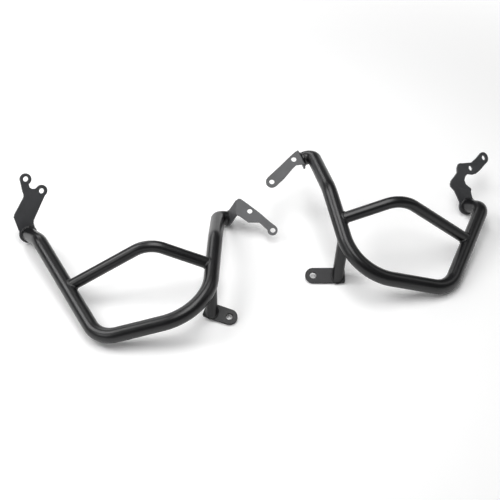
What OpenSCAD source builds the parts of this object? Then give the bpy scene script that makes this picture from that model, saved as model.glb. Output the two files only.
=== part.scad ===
/* [Preview] */
// Which node to draw, or all of them

/* [Tubes] */
// Outside diameter of the main loop tube
main_d = 28; // [24:0.5:34]
// Outside diameter of the brace and of the strut
brace_d = 22; // [18:0.5:26]
// Wall of every tube
tube_wall = 2; // [1.5:0.1:3]
// Centre line radius of the tight lower corner
corner_bend_r = 50; // [42:1:60]
// Centre line radius of the wide lower corner
sweep_bend_r = 95; // [80:1:105]
// Centre line radius of the shallow kink in the rear leg
kink_bend_r = 60; // [45:1:80]
// Centre line radius of the short rear end bend
rear_bend_r = 18; // [16.5:0.5:19]
// Centre line radius of the bend in the brace
brace_bend_r = 60; // [45:1:80]

/* [Plates] */
// Thickness of the bolted plates
plate_t = 4; // [3:0.5:5]
// Thickness of the lower tabs
tab_t = 5; // [4:0.5:6]
// Bore for a ten millimetre bolt in the plates
plate_hole_d = 10.5; // [8.5:0.5:11.5]
// Bore for a twelve millimetre bolt in the tabs
tab_hole_d = 12.5; // [10.5:0.5:13.5]
// Width of the lower tabs
tab_w = 30; // [26:1:34]
// Leg of every weld bead
bead = 3; // [2:0.5:4]
// Radius of the round flange behind the rear tube end
flange_r = 15.5; // [15:0.25:18]

/* [Left bar bend points] */
// Front end of the left tube, face of the front plate
l_p0 = [-438.5, 26.7, 18.4]; // [-500:0.1:500]
// Left front end bend
l_p1 = [-404.7, -21.3, 46]; // [-500:0.1:500]
// Left tight lower corner
l_p2 = [-266.9, -243.7, 18]; // [-500:0.1:500]
// Left wide lower corner
l_p3 = [-73.5, -221.8, 64.9]; // [-500:0.1:500]
// Left rear leg kink
l_p4 = [-65.7, -35.1, 65.5]; // [-500:0.1:500]
// Left rear end bend
l_p5 = [-64.4, 72.3, 22]; // [-500:0.1:500]
// Direction in which the left rear end points
l_end_dir = [0.952, 0.153, -0.265]; // [-1:0.001:1]
// Bend point in the middle of the left brace
l_brace_mid = [-183.7, -98.4, 113.1]; // [-500:0.1:500]
// Where the left brace meets the front leg, as a share of the leg
l_brace_front_at = 0.497; // [0.4:0.005:0.6]
// Centre line radius of the left front end bend
l_front_bend_r = 40; // [30:1:50]

/* [Right bar bend points] */
// Front end of the right tube, face of the front plate
r_p0 = [445.7, 111.7, 18.4]; // [-500:0.1:500]
// Right front end bend
r_p1 = [463.7, 74.9, 43]; // [-500:0.1:500]
// Right tight lower corner
r_p2 = [372.6, -115.3, 10.4]; // [-500:0.1:500]
// Right wide lower corner
r_p3 = [191.1, -129.8, 68.4]; // [-500:0.1:500]
// Right rear leg kink
r_p4 = [149.9, 33.4, 130]; // [-500:0.1:500]
// Right rear end bend
r_p5 = [124.9, 158.2, 113.6]; // [-500:0.1:500]
// Direction in which the right rear end points
r_end_dir = [-0.9, -0.3, -0.3]; // [-1:0.001:1]
// Bend point in the middle of the right brace
r_brace_mid = [283.4, -7.2, 140]; // [-500:0.1:500]
// Where the right brace meets the front leg, as a share of the leg
r_brace_front_at = 0.417; // [0.35:0.005:0.5]
// Centre line radius of the right front end bend
r_front_bend_r = 26; // [22:1:30]

/* [Shared joints] */
// Where a brace meets the rear leg, as a share of the leg
brace_rear_at = 0.619; // [0.55:0.005:0.7]
// Where the left strut meets the rear leg, as a share of the leg
l_strut_at = 0.385; // [0.35:0.005:0.45]
// Where the right strut meets the rear leg, as a share of the leg
r_strut_at = 0.42; // [0.38:0.005:0.48]
// Length from the left rear end bend to its flange
l_rear_stub = 20.5; // [19:0.5:24]
// Length from the right rear end bend to its flange
r_rear_stub = 22.5; // [22:0.5:26]
// Foot of the left strut on top of its tab
l_foot = [-69.8, -172.9, 11.7]; // [-500:0.1:500]
// Foot of the right strut on top of its tab
r_foot = [166.3, -81.1, 10.2]; // [-500:0.1:500]
// Lean of the left tab toward its long edge
l_tab_tilt = 16; // [10:1:22]
// Lean of the right tab toward its long edge
r_tab_tilt = 25; // [18:1:30]
// Reach from the left strut to the tab bore
l_tab_reach = 33.6; // [28:0.5:40]
// Reach from the right strut to the tab bore
r_tab_reach = 46.5; // [40:0.5:52]

/* [Origin] */
// Middle of the pair's footprint, along x
origin_x = 17.2; // [-60:0.1:60]
// Middle of the pair's footprint, along y
origin_y = -19; // [-60:0.1:60]
// Height of the floor below the bend points
floor_z = -0.1; // [-10:0.1:10]

/* [Hidden] */
$fn = 96;
main_r = main_d / 2;
brace_r = brace_d / 2;
cut_over = 1;
// The wall thins a hair in a bend, and each straight length runs a little way over it
bend_slim = 0.05;
bend_lap = 0.8;
// A fold is a hair slimmer and shorter than the plates it joins
fold_slim = 0.05;
far = 90;
plate_color = [0.16, 0.16, 0.17];
tube_color = [0.11, 0.11, 0.12];
bead_color = [0.13, 0.13, 0.14];

function unit(v) = v / norm(v);
function mix(a, b, t) = a + t * (b - a);
function dir(p, i) = unit(p[i + 1] - p[i]);
function turn(p, i) = acos(dir(p, i - 1) * dir(p, i));
function setback(p, r, i) = (i == 0 || i == len(p) - 1) ? 0 : r[i] * tan(turn(p, i) / 2);
function lap(bend_r) = min(bend_lap, bend_r / 60);
function straight(p, r, i) = norm(p[i + 1] - p[i]) - setback(p, r, i) - setback(p, r, i + 1);
function side(a, z) = unit(a - (a * z) * z);
function bend_x(p, i) = side(dir(p, i + 1), dir(p, i));
function twist(p, i) = i == 0 ? 0 : atan2(bend_x(p, i) * last_y(p, i), bend_x(p, i) * last_x(p, i));
function last_y(p, i) = cross(dir(p, i - 1), bend_x(p, i - 1));
function last_x(p, i) = cos(turn(p, i)) * bend_x(p, i - 1) - sin(turn(p, i)) * dir(p, i - 1);
function axes(a, z) = [side(a, unit(z)), cross(unit(z), side(a, unit(z))), unit(z)];

l_end = unit(l_end_dir);
r_end = unit(r_end_dir);
l_path = [l_p0, l_p1, l_p2, l_p3, l_p4, l_p5, l_p5 + l_rear_stub * l_end];
r_path = [r_p0, r_p1, r_p2, r_p3, r_p4, r_p5, r_p5 + r_rear_stub * r_end];
l_radii = [0, l_front_bend_r, corner_bend_r, sweep_bend_r, kink_bend_r, rear_bend_r, 0];
r_radii = [0, r_front_bend_r, corner_bend_r, sweep_bend_r, kink_bend_r, rear_bend_r, 0];
l_brace = [mix(l_p1, l_p2, l_brace_front_at), l_brace_mid, mix(l_p3, l_p4, brace_rear_at)];
r_brace = [mix(r_p1, r_p2, r_brace_front_at), r_brace_mid, mix(r_p3, r_p4, brace_rear_at)];
brace_radii = [0, brace_bend_r, 0];
l_strut = [mix(l_p3, l_p4, l_strut_at), l_foot];
r_strut = [mix(r_p3, r_p4, r_strut_at), r_foot];

// Plane that both rear arms lie in
arm_n = [0, -0.5, 0.866];
arm_y = [0, 0.866, 0.5];
arm_axes = [[1, 0, 0], arm_y, arm_n];
// Step of the left web from its first fold to its second
web_shift = 12;
web_right = 11.5;
web_rise = 16;
web_long = norm([web_right, web_rise]);
l_front_axes = axes([0.809, 0.588, 0], dir(l_path, 0));
r_front_axes = axes([0.861, 0.106, -0.497], dir(r_path, 0));
leaf_fold = 20;
l_flange_axes = axes(arm_y, l_end);
l_fold_up = side(arm_n, l_end);
l_fold_1 = l_path[6] + plate_t / 2 * l_end + (flange_r - 0.5) * l_fold_up;
l_web_step = [web_right, 0, 0] + web_shift * arm_y + web_rise * arm_n;
l_fold_2 = l_fold_1 + l_web_step;
r_fold_dir = unit(cross(r_end, arm_n));
r_flange_axes = axes(r_fold_dir, r_end);
r_fold_up = side(arm_n, r_end);
r_fold = r_path[6] + plate_t / 2 * r_end + (flange_r - 0.5) * r_fold_up;

// Move children to a point, with the three axes given
module put(o, f) {
  multmatrix([
    [f[0][0], f[1][0], f[2][0], o[0]],
    [f[0][1], f[1][1], f[2][1], o[1]],
    [f[0][2], f[1][2], f[2][2], o[2]],
    [0, 0, 0, 1]])
    children();
}

// One bend that starts at the origin along z and turns toward x
module bend(a, bend_r, tube_r) {
  translate([bend_r, 0, 0])
    rotate([90, 0, 180])
      rotate_extrude(angle = a)
        translate([bend_r, 0])
          circle(r = tube_r);
}

// Straight and bent lengths in turn, each one placed on the end of the last
module lengths(p, r, tube_r, over, i) {
  first = i == 0 ? over : lap(r[i]);
  last = i == len(p) - 2 ? over : lap(r[i + 1]);
  long = straight(p, r, i);
  translate([0, 0, -first])
    cylinder(h = long + first + last, r = tube_r);
  if (i < len(p) - 2) {
    a = turn(p, i + 1);
    q = r[i + 1];
    translate([0, 0, long])
      rotate([0, 0, twist(p, i)]) {
        bend(a, q, tube_r - bend_slim);
        translate([q * (1 - cos(a)), 0, q * sin(a)])
          rotate([0, a, 0])
            lengths(p, r, tube_r, over, i + 1);
      }
  }
}

module rod(p, r, tube_r, over = 0) {
  put(p[0], axes(p[2] - p[1], dir(p, 0)))
    lengths(p, r, tube_r, over, 0);
}

module pin(p, pin_r, over = 0) {
  put(p[0], axes([1, 0, 0], dir(p, 0)))
    cylinder(h = norm(p[1] - p[0]) + over, r = pin_r);
}

// Everything below the top face of a tab
module below(foot, tilt) {
  translate(foot)
    rotate([tilt, 0, 0])
      translate([-far, -far, -far])
        cube([2 * far, 2 * far, far]);
}

module skin(foot, tilt) {
  translate(foot)
    rotate([tilt, 0, 0])
      translate([-far, -far, 0])
        cube([2 * far, 2 * far, bead]);
}

module main_tube(p, r) {
  difference() {
    rod(p, r, main_r);
    rod(p, r, main_r - tube_wall, cut_over);
  }
}

// Brace with both ends coped to the main tube
module brace_tube(p, b, r) {
  difference() {
    rod(b, brace_radii, brace_r);
    rod(b, brace_radii, brace_r - tube_wall, cut_over);
    rod(p, r, main_r);
  }
}

module strut_tube(p, s, r, tilt) {
  difference() {
    pin(s, brace_r, 12);
    pin(s, brace_r - tube_wall, 14);
    rod(p, r, main_r);
    below(s[1], tilt);
  }
}

// Bead around a brace end on a straight leg: outside both tubes, within a bead of both
module leg_weld(leg, a, b) {
  difference() {
    intersection() {
      pin([a, mix(a, b, 0.3)], brace_r + 0.9 * bead);
      pin(leg, main_r + bead);
    }
    pin(leg, main_r);
    pin([a, mix(a, b, 0.4)], brace_r);
  }
}

// The same bead where the leg is part of a bend
module cope_weld(p, r, a, b) {
  difference() {
    intersection() {
      pin([a, mix(a, b, 0.3)], brace_r + bead);
      rod(p, r, main_r + bead);
    }
    rod(p, r, main_r);
    pin([a, mix(a, b, 0.4)], brace_r);
  }
}

module foot_weld(s, tilt) {
  difference() {
    intersection() {
      pin([mix(s[0], s[1], 0.7), s[1]], brace_r + bead, 12);
      skin(s[1], tilt);
    }
    pin(s, brace_r, 14);
  }
}

// Bead around a tube end that stands square on a plate
module end_ring() {
  rotate_extrude()
    translate([main_r, 0])
      polygon([[0, 0], [bead, 0], [bead * 0.55, bead * 0.55], [0, bead]]);
}

module front_weld(p, f) {
  put(p[0], f)
    end_ring();
}

module rear_weld(p, f) {
  put(p[6], [f[0], -f[1], -f[2]])
    end_ring();
}

// One slab of a plate, its top face at z = 0
module slab(points) {
  translate([0, 0, -plate_t])
    linear_extrude(height = plate_t)
      polygon(points);
}

module eye(x, y, eye_r) {
  translate([x, y, -plate_t])
    cylinder(h = plate_t, r = eye_r);
}

module bore(x, y, hole_d) {
  translate([x, y, -plate_t - cut_over])
    cylinder(h = plate_t + 2 * cut_over, r = hole_d / 2);
}

// Flat forked left front plate, tube end at the origin of its frame
module left_front_plate_body() {
  put(l_p0, l_front_axes)
    difference() {
      union() {
        slab([[-15, 13], [-15, 42], [-12, 47], [12.5, 68], [17.5, 73], [19, 78], [19, 84], [22.5, 107],
          [43, 99], [35.5, 93], [35, 86], [39, 81], [45, 79], [52, 81], [65.5, 66.5], [20, 22], [17.5, 17],
          [16, 3], [-14, 2]]);
        eye(0, 0, main_r + 4);
        eye(33.3, 104, 11.5);
        eye(55.2, 70.6, 11.5);
      }
      bore(33.6, 104.3, plate_hole_d);
      bore(54.8, 70.2, plate_hole_d);
    }
}

module fold_bar(half) {
  rotate([-90, 0, 0])
    translate([0, 0, fold_slim - half])
      cylinder(h = 2 * (half - fold_slim), r = plate_t / 2 - fold_slim);
}

// Round flange on the rear tube end, squared off where it meets the fold
module flange(o, f) {
  put(o, f) {
    cylinder(h = plate_t, r = flange_r);
    translate([-flange_r, 0, 0])
      cube([2 * flange_r, flange_r - 0.5, plate_t]);
  }
}

module left_rear_body() {
  web_up = unit(l_web_step - web_shift * arm_y);
  difference() {
    union() {
      flange(l_path[6], l_flange_axes);
      put(l_fold_1, arm_axes)
        fold_bar(flange_r);
      put(l_fold_1, [arm_y, web_up, cross(arm_y, web_up)])
        translate([0, 0, plate_t / 2])
          slab([[-flange_r, 0], [flange_r, 0], [web_shift + flange_r, web_long], [web_shift - flange_r, web_long]]);
      put(l_fold_2, arm_axes)
        fold_bar(flange_r);
      put(l_fold_2, arm_axes)
        translate([0, 0, plate_t / 2]) {
          slab([[0, -flange_r], [0, flange_r], [3, 18.5], [8, 18.5], [26, 5], [46, -11], [65, -28.5],
            [78.5, -39.5], [63, -47], [58, -43], [53, -38], [45.5, -30.6], [24, -30.6], [5.5, -17]]);
          eye(71.5, -47, 10);
        }
    }
    put(l_fold_2, arm_axes)
      translate([0, 0, plate_t / 2]) {
        bore(26.5, -7.5, plate_hole_d);
        bore(72, -47, plate_hole_d);
      }
  }
}

module right_rear_body() {
  difference() {
    union() {
      flange(r_path[6], r_flange_axes);
      put(r_fold, [cross(r_fold_dir, arm_n), r_fold_dir, arm_n])
        fold_bar(flange_r);
      put(r_fold, arm_axes)
        translate([0, 0, plate_t / 2]) {
          slab([[-6.4, 14.1], [6.4, -14.1], [-9, -16.5], [-17, -24.5], [-33, -44.5], [-49.5, -61],
            [-66.5, -43.5], [-39.5, -17], [-20, 3], [-12, 10.5]]);
          eye(-58, -52, 11.8);
        }
    }
    put(r_fold, arm_axes)
      translate([0, 0, plate_t / 2]) {
        bore(-14, -4.5, plate_hole_d);
        bore(-58, -52, plate_hole_d);
      }
  }
}

// Folded right front plate: a lower web behind the tube end, and a forked upper leaf
module right_front_plate_body() {
  put(r_p0, r_front_axes)
    difference() {
      union() {
        slab([[-56.5, 28.6], [-3.3, 28.6], [5.5, 18], [10, 10], [-14, -12], [-20.5, 0.9], [-41.2, 17.7], [-54, 23]]);
        eye(0, 0, main_r + 5);
        on_leaf() {
          slab([[0, 0], [1.4, 8], [7.8, 19], [13.5, 30], [11.5, 38], [13, 47], [20, 52], [31.6, 57], [46, 63],
            [58, 78], [66, 91], [74, 95.5], [86, 89], [86.5, 79], [70, 54], [60.7, 43], [53, 38.5], [40, 35.7],
            [34.4, 28.2], [33, 19], [38, 11.8], [53.2, 7], [53.2, 0]]);
          eye(76, 84.5, 12);
          eye(20, 45, 7);
        }
      }
      on_leaf() {
        bore(76.2, 84.6, plate_hole_d);
        bore(45.4, 50.3, plate_hole_d);
      }
    }
}

module on_leaf() {
  translate([-56.5, 28.6, 0])
    rotate([-leaf_fold, 0, 0])
      children();
}

// Tab: a strip with one round end and the bore at its centre
module tab_body(foot, tilt, spin, reach, back, drop) {
  corner = 4;
  translate(foot)
    rotate([tilt, 0, 0])
      rotate([0, 0, spin])
        translate([0, drop, -tab_t])
          difference() {
            union() {
              translate([corner - back, -tab_w / 2, 0])
                cube([reach + back - corner, tab_w, tab_t]);
              translate([-back, corner - tab_w / 2, 0])
                cube([2 * corner, tab_w - 2 * corner, tab_t]);
              translate([corner - back, corner - tab_w / 2, 0])
                cylinder(h = tab_t, r = corner);
              translate([corner - back, tab_w / 2 - corner, 0])
                cylinder(h = tab_t, r = corner);
              translate([reach, 0, 0])
                cylinder(h = tab_t, r = tab_w / 2);
            }
            translate([reach, 0, -cut_over])
              cylinder(h = tab_t + 2 * cut_over, r = tab_hole_d / 2);
          }
}

// Puts the origin under the middle of the pair, on the floor
module placed() {
  translate([-origin_x, -origin_y, -floor_z])
    children();
}

module left_main_tube() {
  color(tube_color) placed() main_tube(l_path, l_radii);
}

module left_brace_tube() {
  color(tube_color) placed() brace_tube(l_path, l_brace, l_radii);
}

module left_strut_tube() {
  color(tube_color) placed() strut_tube(l_path, l_strut, l_radii, l_tab_tilt);
}

module left_lower_tab() {
  color(plate_color) placed() tab_body(l_foot, l_tab_tilt, -20.5, l_tab_reach, 14, 2);
}

module left_front_plate() {
  color(plate_color) placed() left_front_plate_body();
}

module left_rear_bracket() {
  color(plate_color) placed() left_rear_body();
}

module left_front_weld() {
  color(bead_color) placed() front_weld(l_path, l_front_axes);
}

module left_rear_weld() {
  color(bead_color) placed() rear_weld(l_path, l_flange_axes);
}

module left_brace_front_weld() {
  color(bead_color) placed() leg_weld([l_p1, l_p2], l_brace[0], l_brace[1]);
}

module left_brace_rear_weld() {
  color(bead_color) placed() leg_weld([l_p3, l_p4], l_brace[2], l_brace[1]);
}

module left_strut_top_weld() {
  color(bead_color) placed() cope_weld(l_path, l_radii, l_strut[0], mix(l_strut[0], l_strut[1], 2.5));
}

module left_strut_foot_weld() {
  color(bead_color) placed() foot_weld(l_strut, l_tab_tilt);
}

module right_main_tube() {
  color(tube_color) placed() main_tube(r_path, r_radii);
}

module right_brace_tube() {
  color(tube_color) placed() brace_tube(r_path, r_brace, r_radii);
}

module right_strut_tube() {
  color(tube_color) placed() strut_tube(r_path, r_strut, r_radii, r_tab_tilt);
}

module right_lower_tab() {
  color(plate_color) placed() tab_body(r_foot, r_tab_tilt, 180, r_tab_reach, 14, -1.5);
}

module right_front_plate() {
  color(plate_color) placed() right_front_plate_body();
}

module right_rear_bracket() {
  color(plate_color) placed() right_rear_body();
}

module right_front_weld() {
  color(bead_color) placed() front_weld(r_path, r_front_axes);
}

module right_rear_weld() {
  color(bead_color) placed() rear_weld(r_path, r_flange_axes);
}

module right_brace_front_weld() {
  color(bead_color) placed() leg_weld([r_p1, r_p2], r_brace[0], r_brace[1]);
}

module right_brace_rear_weld() {
  color(bead_color) placed() leg_weld([r_p3, r_p4], r_brace[2], r_brace[1]);
}

module right_strut_top_weld() {
  color(bead_color) placed() cope_weld(r_path, r_radii, r_strut[0], mix(r_strut[0], r_strut[1], 2));
}

module right_strut_foot_weld() {
  color(bead_color) placed() foot_weld(r_strut, r_tab_tilt);
}

left_main_tube();
left_brace_tube();
left_strut_tube();
left_lower_tab();
left_front_plate();
left_rear_bracket();
left_front_weld();
left_rear_weld();
left_brace_front_weld();
left_brace_rear_weld();
left_strut_top_weld();
left_strut_foot_weld();
right_main_tube();
right_brace_tube();
right_strut_tube();
right_lower_tab();
right_front_plate();
right_rear_bracket();
right_front_weld();
right_rear_weld();
right_brace_front_weld();
right_brace_rear_weld();
right_strut_top_weld();
right_strut_foot_weld();
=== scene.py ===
"""Looks for a pair of welded tube crash bars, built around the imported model.

Every tube is swept along its own bend points, every weld is a rippled bead laid
along the joint it fills, and every plate is a cut sheet with eased edges.
"""
import logging
import math
import random
from dataclasses import dataclass, field, replace
from enum import Enum

import bmesh
import bpy
import numpy as np
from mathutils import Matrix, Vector


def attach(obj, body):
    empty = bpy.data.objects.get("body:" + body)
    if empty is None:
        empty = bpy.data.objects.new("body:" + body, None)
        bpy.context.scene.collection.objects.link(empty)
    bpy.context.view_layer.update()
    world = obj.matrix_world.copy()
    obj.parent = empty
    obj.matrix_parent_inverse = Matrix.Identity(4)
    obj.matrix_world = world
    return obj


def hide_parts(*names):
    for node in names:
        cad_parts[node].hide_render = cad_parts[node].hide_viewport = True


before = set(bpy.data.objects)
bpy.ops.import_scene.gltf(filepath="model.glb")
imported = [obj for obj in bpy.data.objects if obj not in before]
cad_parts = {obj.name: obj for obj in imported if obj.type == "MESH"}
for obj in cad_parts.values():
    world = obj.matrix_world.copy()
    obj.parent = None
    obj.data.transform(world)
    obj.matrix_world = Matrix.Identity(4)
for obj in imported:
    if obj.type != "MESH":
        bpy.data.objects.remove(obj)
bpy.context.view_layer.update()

LOG = logging.getLogger("crash_bars")
MM = 0.001
# The shared frame's origin, in the millimetres that the bend points are given in
ORIGIN_MM = Vector((17.2, -19.0, -0.1))
# Points closer than this are one point
SAME_SPOT = 1e-6
# A direction that no tube follows, from which each tube's sides are counted
SIDE_HINT = Vector((0.31, 0.22, 0.92))

Triple = tuple[float, float, float]
Pair = tuple[float, float]
# A point of a centre line, and the way along the line there
Station = tuple[Vector, Vector]


class Slot(Enum):
    """A material slot of the record, named in each finish."""

    TUBE = "tube_coat"
    PLATE = "plate_coat"
    WELD = "weld_coat"


class Easing(Enum):
    """How one level turns into the next."""

    STRAIGHT = "LINEAR"
    SOFT = "SMOOTHSTEP"


class Joint(Enum):
    """The six places where a bar's tubes are welded."""

    FRONT = "front"
    REAR = "rear"
    BRACE_FRONT = "brace_front"
    BRACE_REAR = "brace_rear"
    STRUT_TOP = "strut_top"
    STRUT_FOOT = "strut_foot"


# The seed of each weld's unevenness
WELD_SEEDS = {
    Joint.FRONT: 3,
    Joint.REAR: 5,
    Joint.BRACE_FRONT: 11,
    Joint.BRACE_REAR: 13,
    Joint.STRUT_TOP: 17,
    Joint.STRUT_FOOT: 19,
}


def placed(x: float, y: float, z: float) -> Vector:
    """Turn a bend point given in mm into the shared frame.

    Args:
        x: Millimetres to the right.
        y: Millimetres to the back.
        z: Millimetres up.

    Returns:
        The point in metres, with the origin under the middle of the pair.
    """
    return (Vector((x, y, z)) - ORIGIN_MM) * MM


def across(line: Vector, hint: Vector) -> Vector:
    """Return the part of hint that is square to line, at unit length."""
    return (hint - hint.dot(line) * line).normalized()


def off_line(gap: Vector, line: Vector) -> float:
    """Return the length of the part of gap that is square to line."""
    return (gap - gap.dot(line) * line).length


def ring(centre: Vector, side: Vector, other: Vector, radius: float, count: int) -> list[Vector]:
    """Space points evenly round a circle.

    Args:
        centre: Its centre.
        side: The way from the centre to the first point.
        other: The way from the centre to the point a quarter turn on.
        radius: Its radius.
        count: Number of points.

    Returns:
        The points, in order.
    """
    turns = [math.tau * k / count for k in range(count)]
    return [centre + (side * math.cos(a) + other * math.sin(a)) * radius for a in turns]


def spread(tree: bpy.types.NodeTree, value: bpy.types.NodeSocket, span: Pair, levels: Pair,
           easing: Easing) -> bpy.types.NodeSocket:
    """Turn a value that runs over a span into one that runs over two levels.

    Args:
        tree: The nodes to add to.
        value: The value.
        span: Where the value starts and ends.
        levels: What it becomes there.
        easing: How it gets from the one to the other.

    Returns:
        The new value, which stays between the two levels.
    """
    ease = tree.nodes.new("ShaderNodeMapRange")
    ease.interpolation_type = easing.value
    for name, number in zip(("From Min", "From Max", "To Min", "To Max"), (*span, *levels)):
        ease.inputs[name].default_value = number
    tree.links.new(value, ease.inputs["Value"])
    return ease.outputs["Result"]


def looked_at(tree: bpy.types.NodeTree) -> bpy.types.NodeSocket:
    """Tell the rays that see a surface from those that only carry light.

    Args:
        tree: The nodes to add to.

    Returns:
        1 for a ray from the camera, in a reflection or through glass, and 0 for any other.
    """
    ray = tree.nodes.new("ShaderNodeLightPath")
    found = ray.outputs["Is Camera Ray"]
    for kind in ("Is Glossy Ray", "Is Transmission Ray"):
        either = tree.nodes.new("ShaderNodeMath")
        either.operation = "MAXIMUM"
        tree.links.new(found, either.inputs[0])
        tree.links.new(ray.outputs[kind], either.inputs[1])
        found = either.outputs[0]
    return found


@dataclass(frozen=True)
class Grain:
    """A noise pattern in a finish, in the piece's own metres."""

    fineness: float
    detail: float
    roughness: float

    def on(self, tree: bpy.types.NodeTree, place: bpy.types.NodeSocket) -> bpy.types.NodeSocket:
        """Add the pattern to a material.

        Args:
            tree: The material's nodes.
            place: The spot on the piece.

        Returns:
            The pattern's value there.
        """
        noise = tree.nodes.new("ShaderNodeTexNoise")
        noise.inputs["Scale"].default_value = self.fineness
        noise.inputs["Detail"].default_value = self.detail
        noise.inputs["Roughness"].default_value = self.roughness
        tree.links.new(place, noise.inputs["Vector"])
        return noise.outputs["Fac"]


@dataclass(frozen=True)
class PowderCoat:
    """Satin powder coat, as sprayed and baked on steel."""

    name: str
    slot: Slot
    colour: Triple
    bloom: Triple
    roughness: float
    roughness_swing: float = 0.025
    specular: float = 0.5
    ior: float = 1.5
    clouds: Grain = Grain(fineness=22.0, detail=4.0, roughness=0.55)
    cloud_span: Pair = (0.35, 0.72)
    patches: Grain = Grain(fineness=70.0, detail=3.0, roughness=0.6)
    patch_span: Pair = (0.3, 0.7)
    peel_size: float = 0.0022
    peel_depth: float = 0.000004
    grit_fineness: float = 4.2
    grit_share: float = 0.15

    def material(self) -> bpy.types.Material:
        """Build the finish once, and return it each time it is asked for.

        Returns:
            A node material: a dark base with faint clouds, uneven gloss and orange peel.
        """
        if self.name in bpy.data.materials:
            return bpy.data.materials[self.name]
        mat = bpy.data.materials.new(self.name)
        mat.use_nodes = True
        tree = mat.node_tree
        shader = tree.nodes["Principled BSDF"]
        shader.inputs["Specular IOR Level"].default_value = self.specular
        shader.inputs["IOR"].default_value = self.ior
        place = tree.nodes.new("ShaderNodeTexCoord").outputs["Object"]
        tree.links.new(self._tone(tree, place), shader.inputs["Base Color"])
        tree.links.new(self._gloss(tree, place), shader.inputs["Roughness"])
        tree.links.new(self._peel(tree, place), shader.inputs["Normal"])
        return mat

    def _tone(self, tree: bpy.types.NodeTree, place: bpy.types.NodeSocket) -> bpy.types.NodeSocket:
        """Cloud the colour faintly.

        Args:
            tree: The material's nodes.
            place: The spot on the piece.

        Returns:
            The colour there, from the plain one to the bloom.
        """
        tone = tree.nodes.new("ShaderNodeValToRGB")
        plain, bloom = tone.color_ramp.elements
        plain.position, bloom.position = self.cloud_span
        plain.color = (*self.colour, 1.0)
        bloom.color = (*self.bloom, 1.0)
        tree.links.new(self.clouds.on(tree, place), tone.inputs["Fac"])
        return tone.outputs["Color"]

    def _gloss(self, tree: bpy.types.NodeTree, place: bpy.types.NodeSocket) -> bpy.types.NodeSocket:
        """Make the gloss slightly uneven.

        Args:
            tree: The material's nodes.
            place: The spot on the piece.

        Returns:
            The roughness there.
        """
        levels = (self.roughness - self.roughness_swing, self.roughness + self.roughness_swing)
        return spread(tree, self.patches.on(tree, place), self.patch_span, levels, Easing.STRAIGHT)

    def _peel(self, tree: bpy.types.NodeTree, place: bpy.types.NodeSocket) -> bpy.types.NodeSocket:
        """Raise the orange peel of the coat, with finer grit on it.

        Args:
            tree: The material's nodes.
            place: The spot on the piece.

        Returns:
            The surface's direction there.
        """
        peel = Grain(1.0 / self.peel_size, detail=1.0, roughness=0.4)
        grit = Grain(self.grit_fineness / self.peel_size, detail=2.0, roughness=0.5)
        both = tree.nodes.new("ShaderNodeMath")
        both.operation = "MULTIPLY_ADD"
        both.inputs[1].default_value = self.grit_share
        tree.links.new(grit.on(tree, place), both.inputs[0])
        tree.links.new(peel.on(tree, place), both.inputs[2])
        bump = tree.nodes.new("ShaderNodeBump")
        bump.inputs["Strength"].default_value = 1.0
        bump.inputs["Distance"].default_value = self.peel_depth
        tree.links.new(both.outputs["Value"], bump.inputs["Height"])
        return bump.outputs["Normal"]


TUBE_COAT = PowderCoat(
    name="satin_black_tube",
    slot=Slot.TUBE,
    colour=(0.003, 0.003, 0.0035),
    bloom=(0.0055, 0.0055, 0.0065),
    roughness=0.31,
)
WELD_COAT = replace(TUBE_COAT, name="satin_black_weld", slot=Slot.WELD, roughness=0.36, peel_size=0.0015)
# Painted light: the plates take a lighter, greyer copy of the tubes' black coat, whose lighter colour stands
# in for the light on their flat faces.
PLATE_COAT_PAINTED_LIGHT = PowderCoat(
    name="satin_black_plate_painted_light",
    slot=Slot.PLATE,
    colour=(0.044, 0.045, 0.048),
    bloom=(0.06, 0.061, 0.066),
    roughness=0.42,
    peel_size=0.0012,
    peel_depth=0.000009,
)
# Painted light and shade: the tabs take a copy of the black coat, lighter than the tubes' for the light on
# their flat faces and darker than the plates' for the shade they lie in, with a lower specular.
TAB_COAT_PAINTED_LIGHT_AND_SHADE = PowderCoat(
    name="satin_black_tab_painted_light_and_shade",
    slot=Slot.PLATE,
    colour=(0.012, 0.012, 0.013),
    bloom=(0.018, 0.018, 0.02),
    roughness=0.46,
    specular=0.35,
)


def make_piece(name: str, mesh: bpy.types.Mesh, coat: PowderCoat, *stands_for: str) -> bpy.types.Object:
    """Put a finished mesh in the scene as one piece of the pair.

    Args:
        name: The piece's name.
        mesh: Its mesh, in the shared frame.
        coat: The finish it takes.
        stands_for: The solids it replaces.

    Returns:
        The new object.
    """
    mesh.materials.append(coat.material())
    piece = bpy.data.objects.new(name, mesh)
    bpy.context.scene.collection.objects.link(piece)
    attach(piece, "root")
    if stands_for:
        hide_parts(*stands_for)
    LOG.info("%s: %d vertices, %d faces", name, len(mesh.vertices), len(mesh.polygons))
    return piece


def smooth_mesh(name: str, points: list[Vector], faces: list[list[int]], crease_deg: float) -> bpy.types.Mesh:
    """Make a smooth mesh whose sharp corners stay sharp.

    Args:
        name: The mesh's name.
        points: Its vertices.
        faces: Its faces, as lists of vertex numbers.
        crease_deg: The angle from which an edge stays sharp.

    Returns:
        The mesh.
    """
    mesh = bpy.data.meshes.new(name)
    mesh.from_pydata([tuple(p) for p in points], [], faces)
    mesh.validate()
    bm = bmesh.new()
    bm.from_mesh(mesh)
    bmesh.ops.recalc_face_normals(bm, faces=bm.faces)
    bm.to_mesh(mesh)
    bm.free()
    mesh.shade_smooth()
    mesh.set_sharp_from_angle(angle=math.radians(crease_deg))
    return mesh


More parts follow.
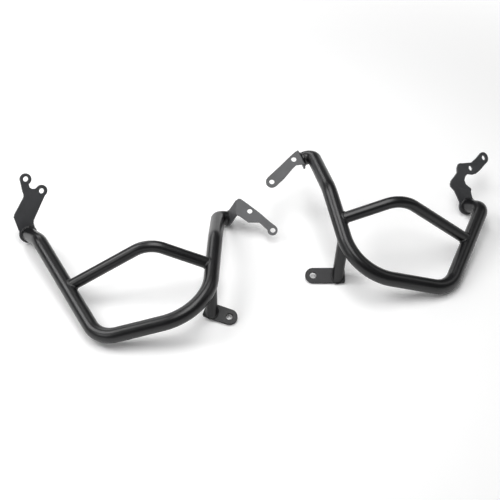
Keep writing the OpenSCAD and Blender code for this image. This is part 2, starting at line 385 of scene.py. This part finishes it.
@dataclass
class Route:
    """Centre line of a bent tube: straight runs joined by round bends."""

    points: list[Vector]
    radii: list[float]
    bend_step_deg: float = 2.5
    run_step: float = 0.012
    stations: list[Station] = field(init=False, default_factory=list)

    def __post_init__(self) -> None:
        """Walk the line once and keep its stations."""
        here = self.points[0]
        for i in range(1, len(self.points) - 1):
            corner, radius = self.points[i], self.radii[i]
            along = (corner - self.points[i - 1]).normalized()
            ahead = (self.points[i + 1] - corner).normalized()
            start = corner - along * radius * math.tan(along.angle(ahead) / 2)
            self._run(here, start, along)
            here = self._bend(start, along, ahead, radius)
        self._run(here, self.points[-1], (self.points[-1] - self.points[-2]).normalized())
        spots = np.array([spot for spot, _ in self.stations])
        self._from = spots[:-1]
        self._step = np.diff(spots, axis=0)
        self._long = (self._step**2).sum(1)

    def _run(self, start: Vector, end: Vector, along: Vector) -> None:
        """Add the stations of one straight run.

        Args:
            start: Where the run starts.
            end: Where it ends.
            along: The way from the one to the other.
        """
        count = max(1, round((end - start).length / self.run_step))
        for k in range(count + 1):
            spot = start.lerp(end, k / count)
            if not self.stations or (spot - self.stations[-1][0]).length > SAME_SPOT:
                self.stations.append((spot, along))

    def _bend(self, start: Vector, along: Vector, ahead: Vector, radius: float) -> Vector:
        """Add the stations of one bend.

        Args:
            start: Where the bend starts.
            along: The way into the bend.
            ahead: The way out of it.
            radius: Its radius, at the middle of the tube.

        Returns:
            Where the bend ends.
        """
        turn = along.angle(ahead)
        inward = across(along, ahead)
        centre = start + inward * radius
        count = max(2, math.ceil(math.degrees(turn) / self.bend_step_deg))
        for k in range(1, count + 1):
            a = turn * k / count
            spot = centre - inward * radius * math.cos(a) + along * radius * math.sin(a)
            self.stations.append((spot, along * math.cos(a) + inward * math.sin(a)))
        return self.stations[-1][0]

    def nearest(self, spot: Vector) -> Vector:
        """Find the point of the centre line that is nearest to a spot.

        Args:
            spot: The spot.

        Returns:
            The nearest point.
        """
        gap = np.array(spot) - self._from
        share = np.clip((gap * self._step).sum(1) / self._long, 0.0, 1.0)
        feet = self._from + share[:, None] * self._step
        return Vector(feet[((np.array(spot) - feet) ** 2).sum(1).argmin()])


@dataclass
class TubeWall:
    """A tube's outside, as the surface that something is welded to."""

    route: Route
    radius: float

    def gap(self, spot: Vector) -> float:
        """Return how far spot is outside the tube."""
        return (spot - self.route.nearest(spot)).length - self.radius

    def normal(self, spot: Vector) -> Vector:
        """Return the way out of the tube at spot."""
        return (spot - self.route.nearest(spot)).normalized()

    def onto(self, spot: Vector) -> Vector:
        """Return the point of the tube's surface next to spot."""
        foot = self.route.nearest(spot)
        return foot + (spot - foot).normalized() * self.radius


@dataclass
class FlatFace:
    """A plate's flat face, as the surface that a tube end is welded to."""

    point: Vector
    out: Vector

    def gap(self, spot: Vector) -> float:
        """Return how far spot is in front of the face."""
        return (spot - self.point).dot(self.out)

    def normal(self, spot: Vector) -> Vector:
        """Return the way out of the plate, which is the same at every spot."""
        return self.out

    def onto(self, spot: Vector) -> Vector:
        """Return the point of the face under spot."""
        return spot - self.out * self.gap(spot)


Seat = TubeWall | FlatFace


@dataclass
class TubeEnd:
    """Where a tube meets its seat: a point inside the seat, and the way along the tube from it."""

    at: Vector
    away: Vector
    seat: Seat
    behind: float = 0.02
    ahead: float = 0.045
    halvings: int = 26

    def fringe(self, radius: float, count: int, bite: float = 0.0) -> list[Vector]:
        """Trim a ring of lines along the tube where they reach the seat.

        Args:
            radius: Radius of the ring.
            count: Number of lines.
            bite: How far each line goes into the seat.

        Returns:
            One point for each line.
        """
        side = across(self.away, SIDE_HINT)
        feet = ring(self.at, side, self.away.cross(side), radius, count)
        return [self._trimmed(foot, bite) for foot in feet]

    def _trimmed(self, foot: Vector, bite: float) -> Vector:
        """Halve a stretch of one line until only the point where it leaves the seat is left.

        Args:
            foot: The point of the line beside the end's own point.
            bite: How far the line goes into the seat.

        Returns:
            The point where the line is cut.
        """
        low, high = -self.behind, self.ahead
        for _ in range(self.halvings):
            middle = (low + high) / 2
            if self.seat.gap(foot + self.away * middle) > -bite:
                high = middle
            else:
                low = middle
        return foot + self.away * high

    def reach(self, radius: float, count: int) -> float:
        """Find how far the trimmed edge of a tube reaches along it.

        Args:
            radius: The tube's radius.
            count: Number of points of the edge to try.

        Returns:
            The distance of the furthest point.
        """
        edge = self.fringe(radius, count)
        return max((p - self.at).dot(self.away) for p in edge)


@dataclass
class SweptTube:
    """A round steel tube with its bore, swept along a route and trimmed at both ends."""

    name: str
    route: Route
    radius: float
    wall: float
    first: TubeEnd | None = None
    last: TubeEnd | None = None
    sides: int = 72
    bite: float = 0.0003
    clear_of_trim: float = 0.004
    reach_points: int = 24
    choices_a_side: int = 4
    crease_deg: float = 38.0

    def build(self) -> bpy.types.Object:
        """Sweep the outside and the bore, and close them at each end.

        Returns:
            The tube, which stands for the solid of the same name.
        """
        skins = [self._skin(self.radius), self._skin(self.radius - self.wall)]
        points = [p for skin in skins for row in skin for p in row]
        mesh = smooth_mesh(self.name + "_swept", points, self._faces(len(skins[0])), self.crease_deg)
        return make_piece(self.name + "_swept", mesh, TUBE_COAT, self.name)

    def _faces(self, rings: int) -> list[list[int]]:
        """Join the points of the outside and the bore.

        Args:
            rings: Number of rings of each skin.

        Returns:
            The faces of both skins and of the rims between them.
        """
        inner = rings * self.sides
        far = (rings - 1) * self.sides
        faces = []
        for k in range(self.sides):
            n = (k + 1) % self.sides
            for base in (0, inner):
                for r in range(rings - 1):
                    a = base + r * self.sides
                    faces.append([a + k, a + n, a + self.sides + n, a + self.sides + k])
            faces.append([k, inner + k, inner + n, n])
            faces.append([far + k, far + n, inner + far + n, inner + far + k])
        return faces

    def _skin(self, radius: float) -> list[list[Vector]]:
        """Carry a ring along the route without twisting it.

        Args:
            radius: The skin's radius.

        Returns:
            The rings of the skin, from the first end to the last.
        """
        stations = self._kept()
        before = stations[0][1]
        start = self.first.away if self.first else before
        side = across(start, SIDE_HINT)
        rings = []
        if self.first:
            rings.append(self.first.fringe(radius, self.sides, self.bite))
            side = start.rotation_difference(before) @ side
        for spot, along in stations:
            side = across(along, before.rotation_difference(along) @ side)
            rings.append(ring(spot, side, along.cross(side), radius, self.sides))
            before = along
        if self.last:
            edge = self.last.fringe(radius, self.choices_a_side * self.sides, self.bite)
            away = self.last.away
            rings.append([min(edge, key=lambda q: off_line(q - p, away)) for p in rings[-1]])
        return rings

    def _kept(self) -> list[Station]:
        """Leave out the stations that a trimmed end would cross.

        Returns:
            The stations that stay.
        """
        kept = self.route.stations
        for end in (self.first, self.last):
            if end:
                reach = end.reach(self.radius, self.reach_points) + self.clear_of_trim
                kept = [(spot, along) for spot, along in kept if (spot - end.at).dot(end.away) >= reach]
        return kept


@dataclass
class WeldBead:
    """A rippled fillet weld laid round the end of a tube."""

    name: str
    end: TubeEnd
    tube_r: float
    seed: int
    leg: float = 0.0022
    widest: float = 1.05
    root_depth: float = 0.0002
    bulge: float = 0.00035
    pitch: float = 0.0024
    ripple: float = 0.00022
    ripple_power: float = 0.7
    ripple_mean: float = 0.6
    chevron: float = 0.42
    swells: int = 4
    swell_depth: Pair = (0.04, 0.09)
    swell_waves: tuple[int, int] = (2, 9)
    steps: int = 288
    arc: int = 9
    crease_deg: float = 62.0

    def build(self) -> bpy.types.Object:
        """Lay the bead, a little wider here and narrower there.

        Returns:
            The bead, which stands for the solid of the same name.
        """
        roots = self.end.fringe(self.tube_r, self.steps)
        length = sum((roots[k] - roots[k - 1]).length for k in range(self.steps))
        ripples = round(length / self.pitch)
        swell = self._swell()
        points, walked = [], 0.0
        for k, root in enumerate(roots):
            walked += (root - roots[k - 1]).length if k else 0.0
            turn = walked / length
            wide = 1.0 + sum(a * math.sin(math.tau * n * turn + p) for a, n, p in swell)
            points += self._section(root, turn * ripples, wide)
        mesh = smooth_mesh(self.name + "_bead", points, self._faces(), self.crease_deg)
        return make_piece(self.name + "_bead", mesh, WELD_COAT, self.name)

    def _swell(self) -> list[tuple[float, int, float]]:
        """Draw the waves in the bead's width.

        Returns:
            The depth, the number round the joint and the phase of each wave.
        """
        dice = random.Random(self.seed)
        return [(dice.uniform(*self.swell_depth), dice.randint(*self.swell_waves), dice.uniform(0, math.tau))
                for _ in range(self.swells)]

    def _faces(self) -> list[list[int]]:
        """Join each cross section to the next, and the last to the first.

        Returns:
            The bead's faces.
        """
        corners = self.arc + 2
        faces = []
        for k in range(self.steps):
            here, there = k * corners, (k + 1) % self.steps * corners
            for j in range(corners):
                m = (j + 1) % corners
                faces.append([here + j, here + m, there + m, there + j])
        return faces

    def _section(self, root: Vector, phase: float, wide: float) -> list[Vector]:
        """Shape one cross section of the bead.

        Args:
            root: The point in the corner between the tube and its seat.
            phase: How many ripples were laid up to here.
            wide: How wide the bead is here, as a share of its usual width.

        Returns:
            The root, and then the crowned face from the seat to the tube.
        """
        end = self.end
        stretch = min(self.widest, wide)
        seat_out = end.seat.normal(root)
        axis = end.at + end.away * (root - end.at).dot(end.away)
        tube_out = (root - axis).normalized()
        on_seat = end.seat.onto(root + across(seat_out, tube_out) * self.leg * stretch)
        arm = root + across(tube_out, seat_out) * self.leg * stretch - axis
        on_tube = axis + end.away * arm.dot(end.away) + across(end.away, arm) * self.tube_r
        crown = (seat_out + tube_out).normalized()
        section = [root - crown * self.root_depth]
        for j in range(self.arc + 1):
            share = j / self.arc
            hump = math.sin(math.pi * share)
            wave = 0.5 + 0.5 * math.cos(math.tau * (phase - self.chevron * hump))
            rise = self.ripple * (wave**self.ripple_power - self.ripple_mean)
            section.append(on_seat.lerp(on_tube, share) + crown * (hump * (self.bulge + rise) * wide))
        return section


@dataclass
class CutPlate:
    """A laser cut steel plate with its bores, its edges eased before coating."""

    node: str
    coat: PowderCoat
    ease: float = 0.00035
    ease_steps: int = 2
    flat_deg: float = 0.5
    corner_deg: float = 40.0
    crease_deg: float = 14.0

    def build(self) -> bpy.types.Object:
        """Copy the solid's own shape, and ease its edges.

        Returns:
            The plate, which stands for the solid of the same name.
        """
        bm = bmesh.new()
        bm.from_mesh(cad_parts[self.node].data)
        bmesh.ops.remove_doubles(bm, verts=bm.verts, dist=SAME_SPOT)
        bmesh.ops.dissolve_limit(bm, angle_limit=math.radians(self.flat_deg), verts=bm.verts, edges=bm.edges)
        corner = math.radians(self.corner_deg)
        sharp = [e for e in bm.edges if len(e.link_faces) == 2 and e.calc_face_angle(0.0) > corner]
        bmesh.ops.bevel(bm, geom=sharp, offset=self.ease, offset_type="OFFSET", segments=self.ease_steps,
                        profile=0.5, affect="EDGES", clamp_overlap=True)
        bmesh.ops.remove_doubles(bm, verts=bm.verts, dist=SAME_SPOT)
        mesh = bpy.data.meshes.new(self.node + "_eased")
        bm.to_mesh(mesh)
        bm.free()
        mesh.shade_smooth()
        mesh.set_sharp_from_angle(angle=math.radians(self.crease_deg))
        piece = make_piece(self.node + "_eased", mesh, self.coat, self.node)
        flat = piece.modifiers.new("flat_faces", "WEIGHTED_NORMAL")
        flat.keep_sharp = True
        return piece


@dataclass(frozen=True)
class TubeSizes:
    """Sizes that both bars share, in millimetres; shy keeps the round skins inside the solids' facets."""

    main_d: float = 28.0
    brace_d: float = 22.0
    wall: float = 2.0
    corner_bend: float = 50.0
    sweep_bend: float = 95.0
    kink_bend: float = 60.0
    rear_bend: float = 18.0
    brace_bend: float = 60.0
    shy: float = 0.07

    @property
    def main_r(self) -> float:
        """Return the main tube's radius in metres."""
        return (self.main_d / 2 - self.shy) * MM

    @property
    def brace_r(self) -> float:
        """Return the brace's and the strut's radius in metres."""
        return (self.brace_d / 2 - self.shy) * MM

    @property
    def skin_wall(self) -> float:
        """Return the tubes' wall in metres."""
        return (self.wall - self.shy) * MM


@dataclass
class CrashBar:
    """One bar of the pair: a main loop, a cranked brace, a strut with its tab, and two end plates.

    The line holds the front end, then the front bend, the corner, the sweep, the kink and the
    rear bend. The brace and the strut meet the loop at shares of the way between two of them.
    """

    side: str
    line: list[Vector]
    front_bend: float
    end_way: Vector
    stub: float
    brace_peak: Vector
    brace_front_at: float
    brace_rear_at: float
    strut_at: float
    foot: Vector
    tab_tilt_deg: float
    sizes: TubeSizes = TubeSizes()

    def build(self) -> None:
        """Build the bar's tubes, welds and plates in the order a maker would."""
        loop = self._loop()
        ends = self._ends(loop)
        self._tubes(loop, ends)
        self._welds(ends)
        self._plates()

    def _loop(self) -> Route:
        """Lay out the main tube.

        Returns:
            Its centre line, from the front plate to the rear bracket.
        """
        s = self.sizes
        rear_end = self.line[-1] + self.end_way.normalized() * self.stub * MM
        bends = (0, self.front_bend, s.corner_bend, s.sweep_bend, s.kink_bend, s.rear_bend, 0)
        return Route([*self.line, rear_end], [bend * MM for bend in bends])

    def _ends(self, loop: Route) -> dict[Joint, TubeEnd]:
        """Work out where each tube end is welded on.

        Args:
            loop: The main tube's centre line.

        Returns:
            The six tube ends.
        """
        front_end, front_bend, corner, sweep, kink, _, rear_end = loop.points
        skin = TubeWall(loop, self.sizes.main_r)
        front = front_bend.lerp(corner, self.brace_front_at)
        rear = sweep.lerp(kink, self.brace_rear_at)
        head = sweep.lerp(kink, self.strut_at)
        first_way = (front_bend - front_end).normalized()
        last_way = -self.end_way.normalized()
        tilt = math.radians(self.tab_tilt_deg)
        tab_top = FlatFace(self.foot, Vector((0, -math.sin(tilt), math.cos(tilt))))
        return {
            Joint.FRONT: TubeEnd(front_end, first_way, FlatFace(front_end, first_way)),
            Joint.REAR: TubeEnd(rear_end, last_way, FlatFace(rear_end, last_way)),
            Joint.BRACE_FRONT: TubeEnd(front, (self.brace_peak - front).normalized(), skin),
            Joint.BRACE_REAR: TubeEnd(rear, (self.brace_peak - rear).normalized(), skin),
            Joint.STRUT_TOP: TubeEnd(head, (self.foot - head).normalized(), skin),
            Joint.STRUT_FOOT: TubeEnd(self.foot, (head - self.foot).normalized(), tab_top),
        }

    def _tubes(self, loop: Route, ends: dict[Joint, TubeEnd]) -> None:
        """Sweep the main tube, the brace and the strut.

        Args:
            loop: The main tube's centre line.
            ends: The six tube ends.
        """
        s = self.sizes
        front, rear = ends[Joint.BRACE_FRONT], ends[Joint.BRACE_REAR]
        top, foot = ends[Joint.STRUT_TOP], ends[Joint.STRUT_FOOT]
        brace = Route([front.at, self.brace_peak, rear.at], [0, s.brace_bend * MM, 0])
        strut = Route([top.at, foot.at], [0, 0])
        SweptTube(self.side + "_main_tube", loop, s.main_r, s.skin_wall).build()
        SweptTube(self.side + "_brace_tube", brace, s.brace_r, s.skin_wall, front, rear).build()
        SweptTube(self.side + "_strut_tube", strut, s.brace_r, s.skin_wall, top, foot, bite=0.0).build()

    def _welds(self, ends: dict[Joint, TubeEnd]) -> None:
        """Lay a bead round each tube end.

        Args:
            ends: The six tube ends.
        """
        for joint, end in ends.items():
            on_main = joint in (Joint.FRONT, Joint.REAR)
            tube_r = self.sizes.main_r if on_main else self.sizes.brace_r
            WeldBead(f"{self.side}_{joint.value}_weld", end, tube_r, WELD_SEEDS[joint]).build()

    def _plates(self) -> None:
        """Cut the two end plates and the tab."""
        # The end plates take the coat painted lighter as painted light, and the tab the coat painted between
        # as painted light and shade.
        CutPlate(self.side + "_front_plate", PLATE_COAT_PAINTED_LIGHT).build()
        CutPlate(self.side + "_rear_bracket", PLATE_COAT_PAINTED_LIGHT).build()
        CutPlate(self.side + "_lower_tab", TAB_COAT_PAINTED_LIGHT_AND_SHADE).build()


@dataclass(frozen=True)
class SoftBox:
    """One soft box: where it hangs, the point it faces, its width and height, and its power."""

    name: str
    at: Triple
    aim: Triple
    size: Pair
    watts: float

    def hang(self) -> None:
        """Put the soft box in the scene."""
        data = bpy.data.lights.new(self.name, "AREA")
        data.shape = "RECTANGLE"
        data.size, data.size_y = self.size
        data.energy = self.watts
        lamp = bpy.data.objects.new(self.name, data)
        lamp.location = self.at
        lamp.rotation_euler = (Vector(self.aim) - Vector(self.at)).to_track_quat("-Z", "Y").to_euler()
        bpy.context.scene.collection.objects.link(lamp)


SOFT_BOXES = (
    SoftBox("top_box", (0.0, 0.0, 1.6), (0.0, 0.0, 0.0), (0.75, 1.6), 18.0),
    SoftBox("left_box", (-1.5, 0.1, 1.5), (-0.2, 0.0, 0.0), (0.9, 1.1), 17.0),
    SoftBox("left_front_box", (-1.7, -1.2, 1.4), (-0.2, 0.0, 0.0), (0.9, 0.9), 7.0),
    SoftBox("back_box", (-1.1, 2.1, 1.4), (0.0, 0.0, 0.0), (1.2, 0.9), 11.0),
    SoftBox("right_box", (1.7, 0.4, 1.5), (0.2, 0.0, 0.0), (0.8, 1.0), 2.5),
)


@dataclass
class Studio:
    """White table, soft lights and the photograph's camera, in metres."""

    lens_px: float = 883.6
    frame_px: float = 500.0
    sensor_mm: float = 36.0
    look_down_deg: float = 44.2128
    height: float = 1.2157
    back: float = 1.2496
    sees_to: float = 50.0
    table_half: float = 6.0
    table_grey: float = 0.8
    near_glow: float = 0.05
    glow_span: Pair = (0.7, 2.2)
    room_fill: float = 0.13
    wall_top: Pair = (0.08, 0.2)
    boxes: tuple[SoftBox, ...] = SOFT_BOXES

    def build(self) -> None:
        """Set up the whole studio."""
        self._camera()
        self._table()
        self._world()
        for box in self.boxes:
            box.hang()
        bpy.context.scene.view_settings.view_transform = "Standard"

    def _camera(self) -> None:
        """Stand the camera where the photograph was taken from."""
        data = bpy.data.cameras.new("photo_camera")
        data.sensor_width = self.sensor_mm
        data.sensor_fit = "HORIZONTAL"
        data.lens = self.lens_px / self.frame_px * self.sensor_mm
        data.clip_end = self.sees_to
        camera = bpy.data.objects.new("photo_camera", data)
        camera.location = Vector((0.0, -self.back, self.height)) - ORIGIN_MM * MM
        camera.rotation_euler = (math.radians(90.0 - self.look_down_deg), 0.0, 0.0)
        bpy.context.scene.collection.objects.link(camera)
        bpy.context.scene.camera = camera

    def _table(self) -> None:
        """Lay the white table, which keeps the shadows of the bars."""
        half = self.table_half
        mesh = bpy.data.meshes.new("table_top")
        corners = [(-half, -half, 0), (half, -half, 0), (half, half, 0), (-half, half, 0)]
        mesh.from_pydata(corners, [], [(0, 1, 2, 3)])
        mesh.materials.append(self._table_top())
        table = bpy.data.objects.new("white_table", mesh)
        bpy.context.scene.collection.objects.link(table)

    def _table_top(self) -> bpy.types.Material:
        """Make the table's surface, which lights the bars as pale grey and is seen as white.

        Returns:
            A node material that glows faintly near the bars and is plain white far off.
        """
        mat = bpy.data.materials.new("white_table")
        mat.use_nodes = True
        tree = mat.node_tree
        tree.nodes.clear()
        plain = tree.nodes.new("ShaderNodeBsdfDiffuse")
        plain.inputs["Color"].default_value = (self.table_grey, self.table_grey, self.table_grey, 1.0)
        white = tree.nodes.new("ShaderNodeBsdfDiffuse")
        white.inputs["Color"].default_value = (1.0, 1.0, 1.0, 1.0)
        place = tree.nodes.new("ShaderNodeTexCoord")
        away = tree.nodes.new("ShaderNodeVectorMath")
        away.operation = "LENGTH"
        tree.links.new(place.outputs["Object"], away.inputs[0])
        glow = tree.nodes.new("ShaderNodeEmission")
        strength = spread(tree, away.outputs["Value"], self.glow_span, (self.near_glow, 1.0), Easing.SOFT)
        tree.links.new(strength, glow.inputs["Strength"])
        seen = tree.nodes.new("ShaderNodeAddShader")
        tree.links.new(white.outputs[0], seen.inputs[0])
        tree.links.new(glow.outputs[0], seen.inputs[1])
        out = tree.nodes.new("ShaderNodeOutputMaterial")
        self._choose(tree, plain, seen, out)
        return mat

    def _world(self) -> None:
        """Fill the room with a low, even light, in front of a white wall that only shows when looked at."""
        world = bpy.data.worlds.new("studio_room")
        bpy.context.scene.world = world
        world.use_nodes = True
        tree = world.node_tree
        tree.nodes.clear()
        fill = tree.nodes.new("ShaderNodeBackground")
        fill.inputs["Color"].default_value = (1.0, 1.0, 1.0, 1.0)
        fill.inputs["Strength"].default_value = self.room_fill
        wall = tree.nodes.new("ShaderNodeBackground")
        wall.inputs["Color"].default_value = (1.0, 1.0, 1.0, 1.0)
        way = tree.nodes.new("ShaderNodeTexCoord")
        height = tree.nodes.new("ShaderNodeSeparateXYZ")
        tree.links.new(way.outputs["Generated"], height.inputs[0])
        strength = spread(tree, height.outputs["Z"], self.wall_top, (1.0, self.room_fill), Easing.SOFT)
        tree.links.new(strength, wall.inputs["Strength"])
        out = tree.nodes.new("ShaderNodeOutputWorld")
        self._choose(tree, fill, wall, out)

    @staticmethod
    def _choose(tree: bpy.types.NodeTree, unseen: bpy.types.Node, seen: bpy.types.Node,
                out: bpy.types.Node) -> None:
        """Show one surface where it is looked at, and let another light the room.

        Args:
            tree: The nodes to add to.
            unseen: What lights the room.
            seen: What is looked at.
            out: The output that takes the two.
        """
        mix = tree.nodes.new("ShaderNodeMixShader")
        tree.links.new(looked_at(tree), mix.inputs[0])
        tree.links.new(unseen.outputs[0], mix.inputs[1])
        tree.links.new(seen.outputs[0], mix.inputs[2])
        tree.links.new(mix.outputs[0], out.inputs["Surface"])


LEFT_BAR = CrashBar(
    side="left",
    line=[placed(-438.5, 26.7, 18.4), placed(-404.7, -21.3, 46.0), placed(-266.9, -243.7, 18.0),
          placed(-73.5, -221.8, 64.9), placed(-65.7, -35.1, 65.5), placed(-64.4, 72.3, 22.0)],
    front_bend=40.0,
    end_way=Vector((0.952, 0.153, -0.265)),
    stub=20.5,
    brace_peak=placed(-183.7, -98.4, 113.1),
    brace_front_at=0.497,
    brace_rear_at=0.619,
    strut_at=0.385,
    foot=placed(-69.8, -172.9, 11.7),
    tab_tilt_deg=16.0,
)
RIGHT_BAR = CrashBar(
    side="right",
    line=[placed(445.7, 111.7, 18.4), placed(463.7, 74.9, 43.0), placed(372.6, -115.3, 10.4),
          placed(191.1, -129.8, 68.4), placed(149.9, 33.4, 130.0), placed(124.9, 158.2, 113.6)],
    front_bend=26.0,
    end_way=Vector((-0.9, -0.3, -0.3)),
    stub=22.5,
    brace_peak=placed(283.4, -7.2, 140.0),
    brace_front_at=0.417,
    brace_rear_at=0.619,
    strut_at=0.42,
    foot=placed(166.3, -81.1, 10.2),
    tab_tilt_deg=25.0,
)


def main() -> None:
    """Build the studio and both bars, and report each piece."""
    logging.basicConfig(level=logging.INFO, format="%(message)s")
    Studio().build()
    for bar in (LEFT_BAR, RIGHT_BAR):
        bar.build()


if __name__ == "__main__":
    main()
